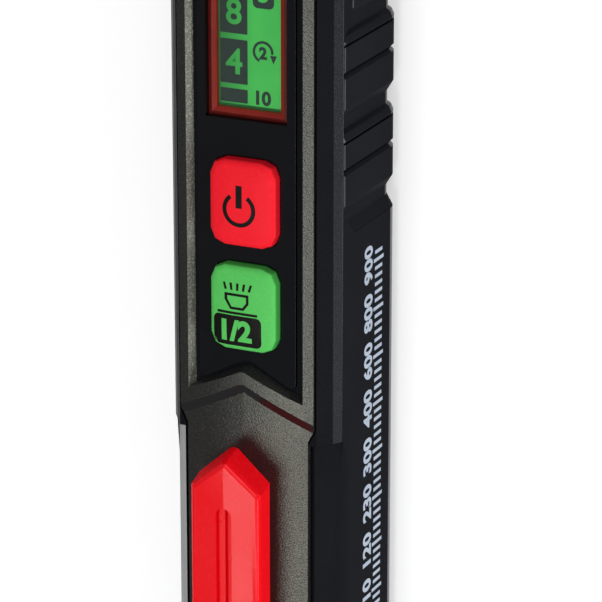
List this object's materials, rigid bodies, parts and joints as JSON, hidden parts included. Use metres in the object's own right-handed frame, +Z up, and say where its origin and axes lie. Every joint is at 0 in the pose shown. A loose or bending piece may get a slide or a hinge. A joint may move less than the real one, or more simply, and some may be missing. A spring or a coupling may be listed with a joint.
{
  "type": "voltage tester",
  "caption": "Pen-shaped non-contact voltage tester with a bevelled display recess, two push buttons, ribbed side grips, red pocket clip, tapered sensing probe and pull-off tail cap.",
  "frame": {"origin": "under the middle of the overall box, on the flat back the tester lies on", "axes": "+Y along the pen towards the probe tip, +Z up through the display, +X towards the printed side"},
  "size_m": [0.025, 0.16, 0.03],
  "materials": {
    "textured_plastic": "fine spark-eroded texture",
    "soft_grip": "soft matte elastomer",
    "gloss_panel": "high gloss",
    "clear_window": "clear acrylic",
    "red_frame": "satin",
    "green_display": "backlit display film",
    "backlight": "milky acrylic",
    "connector_rubber": "banded elastomer",
    "circuit_board": "solder resist",
    "red_button": "satin silicone",
    "green_button": "satin silicone",
    "switch_case": "moulded",
    "switch_plunger": "moulded",
    "led_body": "clear epoxy",
    "clear_ring": "clear acrylic",
    "cone_plastic": "satin",
    "probe_plastic": "satin",
    "antenna_metal": "bare",
    "cell_can": "printed film over steel",
    "contact_metal": "nickel plated",
    "red_clip": "satin",
    "screw_steel": "zinc plated"
  },
  "bodies": {
    "case": {"body_shell": "textured_plastic", "front_cover": "textured_plastic", "nose_housing": "textured_plastic", "left_grip": "soft_grip", "right_grip": "soft_grip", "display_panel": "gloss_panel", "display_window": "clear_window", "display_frame": "red_frame", "lcd_module": "green_display", "backlight_plate": "backlight", "lcd_connector": "connector_rubber", "circuit_board": "circuit_board", "power_switch": "switch_case", "light_switch": "switch_case", "buzzer": "switch_case", "indicator_led": "led_body", "indicator_ring": "clear_ring", "nose_cone": "cone_plastic", "probe_tip": "probe_plastic", "sensor_antenna": "antenna_metal", "torch_lens": "clear_ring", "torch_led": "led_body", "left_cell": "cell_can", "right_cell": "cell_can", "cell_springs": "contact_metal", "cell_contacts": "contact_metal", "pocket_clip": "red_clip", "case_screws": "screw_steel"},
    "power_key": {"power_button": "red_button", "power_plunger": "switch_plunger"},
    "light_key": {"light_button": "green_button", "light_plunger": "switch_plunger"},
    "cap": {"tail_cap": "textured_plastic", "bridge_plate": "contact_metal"}
  },
  "joints": [
    {"name": "power_press", "type": "slide", "parent": "case", "child": "power_key", "axis": [0, 0, -1], "range_m": [0, 0.0006], "stiffness_N_per_m": 1500, "springref_m": -0.0004},
    {"name": "light_press", "type": "slide", "parent": "case", "child": "light_key", "axis": [0, 0, -1], "range_m": [0, 0.0006], "stiffness_N_per_m": 1500, "springref_m": -0.0004},
    {"name": "cap_pull", "type": "slide", "parent": "case", "child": "cap", "axis": [0, -1, 0], "range_m": [0, 0.014]}
  ]
}
